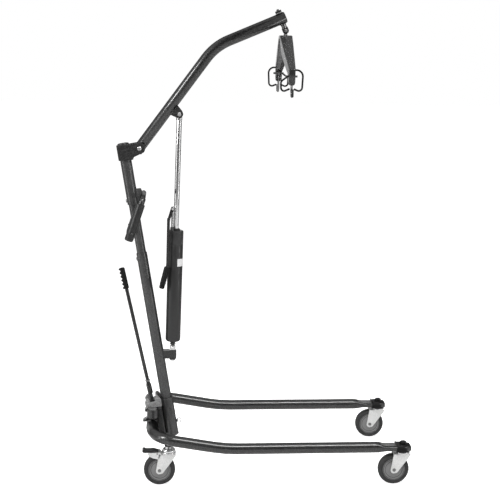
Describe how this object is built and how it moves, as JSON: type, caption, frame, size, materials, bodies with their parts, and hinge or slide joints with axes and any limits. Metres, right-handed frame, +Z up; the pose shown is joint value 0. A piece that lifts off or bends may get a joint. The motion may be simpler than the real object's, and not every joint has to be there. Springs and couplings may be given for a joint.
{
  "type": "patient lift hoist",
  "caption": "Mobile floor hoist: leaning mast, hydraulic pump lifting a bent boom with a sling cradle, and a spreading caster base.",
  "frame": {"origin": "on the floor, in the middle of the outer box at rest", "axes": "+Z up, +X towards the front casters, +Y to the left of a person pushing the lift"},
  "size_m": [1.2, 0.62, 1.8995],
  "materials": {
    "charcoal_paint": "glossy charcoal hammertone enamel",
    "pump_paint": "satin charcoal enamel",
    "black_paint": "gloss black enamel",
    "chrome": "polished hard chrome",
    "zinc": "bright zinc plate",
    "black_plastic": "moulded black plastic",
    "grip_rubber": "soft black vinyl",
    "tyre_rubber": "dark grey non-marking rubber",
    "wheel_grey": "moulded mid-grey plastic"
  },
  "bodies": {
    "base_and_mast": {"mast_socket": "charcoal_paint", "base_carrier": "charcoal_paint", "shift_gate": "zinc", "leg_pivot_bolts": "zinc", "socket_lock_pin": "zinc", "lower_mast_tube": "charcoal_paint", "inner_mast_tube": "charcoal_paint", "upper_mast_sleeve": "charcoal_paint", "mast_top_cap": "black_plastic", "mast_screws": "zinc", "boom_head_bracket": "charcoal_paint", "boom_pivot_bolt": "zinc", "push_handle": "charcoal_paint", "push_handle_grips": "grip_rubber", "pump_bracket": "charcoal_paint", "pump_clevis": "zinc"},
    "boom_arm": {"boom": "charcoal_paint", "rod_end_bolt": "zinc", "hanger_barrel": "black_paint", "hanger_pin": "zinc"},
    "hanger": {"hanger_link": "zinc"},
    "sling_cradle": {"cradle": "charcoal_paint", "left_wire_hooks": "black_paint", "right_wire_hooks": "black_paint", "hook_bolts": "zinc"},
    "left_hook": {"left_centre_hook": "zinc"},
    "right_hook": {"right_centre_hook": "zinc"},
    "pump": {"pump_cylinder": "pump_paint"},
    "piston_rod": {"pump_rod": "chrome"},
    "plunger": {"pump_plunger": "zinc"},
    "pump_handle": {"pump_lever": "black_paint", "pump_lever_grip": "grip_rubber"},
    "release_valve": {"release_knob": "black_plastic"},
    "spreader_lever": {"shift_lever": "black_paint", "shift_lever_grip": "grip_rubber"},
    "spreader_bar": {"shift_bar": "zinc"},
    "left_leg_frame": {"left_leg": "charcoal_paint", "left_leg_cap": "black_plastic", "left_caster_stems": "zinc"},
    "left_front_swivel": {"left_front_fork": "zinc", "left_front_axle_bolt": "zinc"},
    "left_front_wheel": {"left_front_tyre": "tyre_rubber", "left_front_wheel_centre": "wheel_grey"},
    "left_rear_swivel": {"left_rear_fork": "zinc", "left_rear_axle_bolt": "zinc"},
    "left_rear_wheel": {"left_rear_tyre": "tyre_rubber", "left_rear_wheel_centre": "wheel_grey"},
    "left_rear_brake": {"left_rear_brake_pedal": "black_plastic"},
    "right_leg_frame": {"right_leg": "charcoal_paint", "right_leg_cap": "black_plastic", "right_caster_stems": "zinc"},
    "right_front_swivel": {"right_front_fork": "zinc", "right_front_axle_bolt": "zinc"},
    "right_front_wheel": {"right_front_tyre": "tyre_rubber", "right_front_wheel_centre": "wheel_grey"},
    "right_rear_swivel": {"right_rear_fork": "zinc", "right_rear_axle_bolt": "zinc"},
    "right_rear_wheel": {"right_rear_tyre": "tyre_rubber", "right_rear_wheel_centre": "wheel_grey"},
    "right_rear_brake": {"right_rear_brake_pedal": "black_plastic"}
  },
  "joints": [
    {"name": "boom_lift", "type": "hinge", "parent": "base_and_mast", "child": "boom_arm", "pos_m": [-0.507, 0, 1.339], "axis": [0, 1, 0], "range_deg": [0, 70]},
    {"name": "pump_tilt", "type": "hinge", "parent": "base_and_mast", "child": "pump", "pos_m": [-0.371, 0, 0.503], "axis": [0, 1, 0], "range_deg": [0, 2.35]},
    {"name": "piston_slide", "type": "slide", "parent": "pump", "child": "piston_rod", "axis": [0.0257, 0, 0.9997], "range_m": [-0.2412, 0]},
    {"name": "hanger_swing", "type": "hinge", "parent": "boom_arm", "child": "hanger", "pos_m": [0.07916, 0, 1.81469], "axis": [0, 1, 0], "range_deg": [-70.5, 0]},
    {"name": "cradle_turn", "type": "hinge", "parent": "hanger", "child": "sling_cradle", "pos_m": [0.07916, 0, 1.79569], "axis": [0, 0, 1], "continuous": true},
    {"name": "left_hook_swing", "type": "hinge", "parent": "sling_cradle", "child": "left_hook", "pos_m": [0.07916, 0.258, 1.63969], "axis": [1, 0, 0], "range_deg": [-40, 14]},
    {"name": "right_hook_swing", "type": "hinge", "parent": "sling_cradle", "child": "right_hook", "pos_m": [0.07916, -0.258, 1.63969], "axis": [1, 0, 0], "range_deg": [-14, 40]},
    {"name": "release_turn", "type": "hinge", "parent": "pump", "child": "release_valve", "pos_m": [-0.36422, 0.02, 1.00099], "axis": [0.0257, 0, 0.9997], "range_deg": [0, 90]},
    {"name": "pump_handle_swing", "type": "hinge", "parent": "plunger", "child": "pump_handle", "pos_m": [-0.37181, -0.026, 1.09522], "axis": [0, 1, 0], "range_deg": [0, 65]},
    {"name": "plunger_slide", "type": "slide", "parent": "pump", "child": "plunger", "axis": [0.0257, 0, 0.9997], "range_m": [-0.0125, 0]},
    {"name": "spreader_swing", "type": "hinge", "parent": "base_and_mast", "child": "spreader_lever", "pos_m": [-0.455, 0, 0.262], "axis": [1, 0, 0], "range_deg": [0, 7.5]},
    {"name": "spreader_bar_slide", "type": "slide", "parent": "base_and_mast", "child": "spreader_bar", "axis": [0, 1, 0], "range_m": [0, 0.0072]},
    {"name": "left_leg_open", "type": "hinge", "parent": "base_and_mast", "child": "left_leg_frame", "pos_m": [-0.455, 0.05, 0.183], "axis": [0, 0, 1], "range_deg": [0, 13.05]},
    {"name": "left_front_swivel_turn", "type": "hinge", "parent": "left_leg_frame", "child": "left_front_swivel", "pos_m": [0.565, 0.277, 0.132], "axis": [0, 0, 1], "continuous": true},
    {"name": "left_front_wheel_roll", "type": "hinge", "parent": "left_front_swivel", "child": "left_front_wheel", "pos_m": [0.528, 0.277, 0.0635], "axis": [0, 1, 0], "continuous": true},
    {"name": "left_rear_swivel_turn", "type": "hinge", "parent": "left_leg_frame", "child": "left_rear_swivel", "pos_m": [-0.387, 0.252, 0.132], "axis": [0, 0, 1], "continuous": true},
    {"name": "left_rear_wheel_roll", "type": "hinge", "parent": "left_rear_swivel", "child": "left_rear_wheel", "pos_m": [-0.424, 0.252, 0.0635], "axis": [0, 1, 0], "continuous": true},
    {"name": "left_rear_brake_press", "type": "hinge", "parent": "left_rear_swivel", "child": "left_rear_brake", "pos_m": [-0.433, 0.252, 0.136], "axis": [0, -1, 0], "range_deg": [0, 15]},
    {"name": "right_leg_open", "type": "hinge", "parent": "base_and_mast", "child": "right_leg_frame", "pos_m": [-0.455, -0.05, 0.183], "axis": [0, 0, 1], "range_deg": [-13.05, 0]},
    {"name": "right_front_swivel_turn", "type": "hinge", "parent": "right_leg_frame", "child": "right_front_swivel", "pos_m": [0.565, -0.277, 0.132], "axis": [0, 0, 1], "continuous": true},
    {"name": "right_front_wheel_roll", "type": "hinge", "parent": "right_front_swivel", "child": "right_front_wheel", "pos_m": [0.528, -0.277, 0.0635], "axis": [0, 1, 0], "continuous": true},
    {"name": "right_rear_swivel_turn", "type": "hinge", "parent": "right_leg_frame", "child": "right_rear_swivel", "pos_m": [-0.387, -0.252, 0.132], "axis": [0, 0, 1], "continuous": true},
    {"name": "right_rear_wheel_roll", "type": "hinge", "parent": "right_rear_swivel", "child": "right_rear_wheel", "pos_m": [-0.424, -0.252, 0.0635], "axis": [0, 1, 0], "continuous": true},
    {"name": "right_rear_brake_press", "type": "hinge", "parent": "right_rear_swivel", "child": "right_rear_brake", "pos_m": [-0.433, -0.252, 0.136], "axis": [0, -1, 0], "range_deg": [0, 15]}
  ],
  "couplings": [
    {"joint": "pump_tilt", "follows": "boom_lift", "ratio": 0.03344},
    {"joint": "piston_slide", "follows": "boom_lift", "m_per_rad": -0.19704},
    {"joint": "hanger_swing", "follows": "boom_lift", "ratio": -1},
    {"joint": "plunger_slide", "follows": "pump_handle_swing", "m_per_rad": -0.010578},
    {"joint": "spreader_bar_slide", "follows": "spreader_swing", "m_per_rad": 0.053},
    {"joint": "left_leg_open", "follows": "spreader_swing", "ratio": 1.7333},
    {"joint": "right_leg_open", "follows": "spreader_swing", "ratio": -1.7333}
  ]
}
